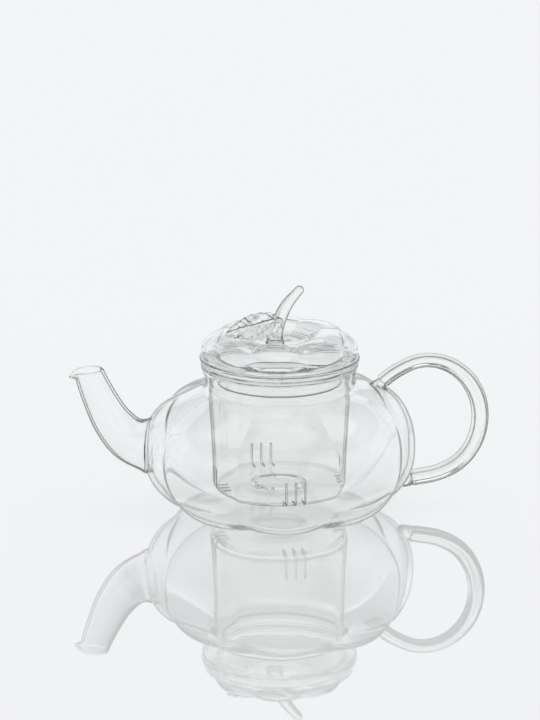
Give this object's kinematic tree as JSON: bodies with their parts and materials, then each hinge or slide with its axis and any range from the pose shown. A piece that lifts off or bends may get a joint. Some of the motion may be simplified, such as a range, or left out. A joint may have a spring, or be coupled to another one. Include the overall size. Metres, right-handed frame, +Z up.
{
  "type": "glass teapot",
  "caption": "Lobed clear glass teapot with a curved spout, a looped rod handle, a lift-out slotted glass infuser and a pumpkin lid with a stem knob and a leaf.",
  "frame": {"origin": "centre of the flat base, on the axis of the body", "axes": "+Z up; the spout points to -X and the handle to +X"},
  "size_m": [0.2099, 0.1366, 0.1163],
  "materials": {
    "blown_glass": "clear blown borosilicate glass, fire-polished, faint green-grey at the edges",
    "rod_glass": "clear solid drawn rod, with faint lengthwise draw lines",
    "infuser_glass": "clear blown glass tube, fire-polished, with ground saw slots",
    "lid_glass": "clear blown glass, fire-polished",
    "pressed_glass": "clear pressed glass with moulded veins and a toothed edge"
  },
  "bodies": {
    "pot": {"pot_body": "blown_glass", "spout": "blown_glass", "handle": "rod_glass", "handle_upper_weld": "rod_glass", "handle_lower_weld": "rod_glass"},
    "infuser": {"infuser": "infuser_glass"},
    "lid": {"lid_skirt": "lid_glass", "lid_dome": "lid_glass", "lid_stem": "rod_glass", "lid_leaf": "pressed_glass"}
  },
  "joints": [
    {"name": "infuser_lift", "type": "slide", "parent": "pot", "child": "infuser", "axis": [0, 0, 1], "range_m": [0, 0.075]},
    {"name": "lid_lift", "type": "slide", "parent": "infuser", "child": "lid", "axis": [0, 0, 1], "range_m": [0, 0.04]}
  ]
}
